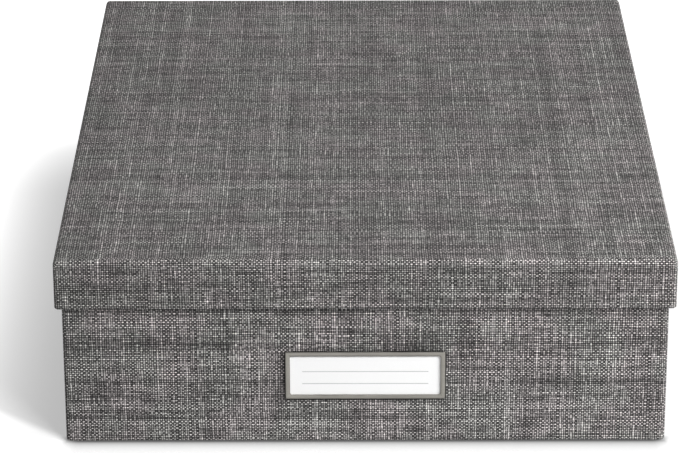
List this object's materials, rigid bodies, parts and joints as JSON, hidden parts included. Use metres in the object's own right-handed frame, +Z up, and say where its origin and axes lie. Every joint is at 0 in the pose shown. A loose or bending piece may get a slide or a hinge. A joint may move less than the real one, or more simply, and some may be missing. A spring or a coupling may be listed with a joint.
{
  "type": "document box",
  "caption": "Flat rectangular storage box for papers: cloth-look paper over board, a lift-off lid with a short skirt, and a metal label holder with a blank slide-in card on the front.",
  "frame": {"origin": "centre of the closed box at the surface it stands on", "axes": "+X to the right across the front, +Y from the labelled front to the back, +Z up"},
  "size_m": [0.26, 0.335, 0.085],
  "materials": {
    "board": "matt grey solid board",
    "stay_tape": "matt brown gummed paper",
    "cloth_paper": "matt paper with a grey plain-weave linen pattern and embossing",
    "base_paper": "matt dark grey paper",
    "liner_paper": "matt off-white lining paper",
    "frame_metal": "satin pewter-grey plated steel",
    "card_stock": "smooth white card, blank"
  },
  "bodies": {
    "tray": {"tray_board": "board", "tray_corner_stay_front_left": "stay_tape", "tray_corner_stay_front_right": "stay_tape", "tray_corner_stay_back_left": "stay_tape", "tray_corner_stay_back_right": "stay_tape", "tray_wrap": "cloth_paper", "tray_base_sheet": "base_paper", "tray_wall_liner": "liner_paper", "tray_base_liner": "liner_paper", "label_frame": "frame_metal"},
    "lid": {"lid_board": "board", "lid_corner_stay_front_left": "stay_tape", "lid_corner_stay_front_right": "stay_tape", "lid_corner_stay_back_left": "stay_tape", "lid_corner_stay_back_right": "stay_tape", "lid_wrap": "cloth_paper", "lid_liner": "liner_paper"},
    "card": {"label_card": "card_stock"}
  },
  "joints": [
    {"name": "lid_lift", "type": "slide", "parent": "tray", "child": "lid", "axis": [0, 0, 1], "range_m": [0, 0.1]},
    {"name": "card_slide", "type": "slide", "parent": "tray", "child": "card", "axis": [0, 0, 1], "range_m": [0, 0.0219]}
  ]
}
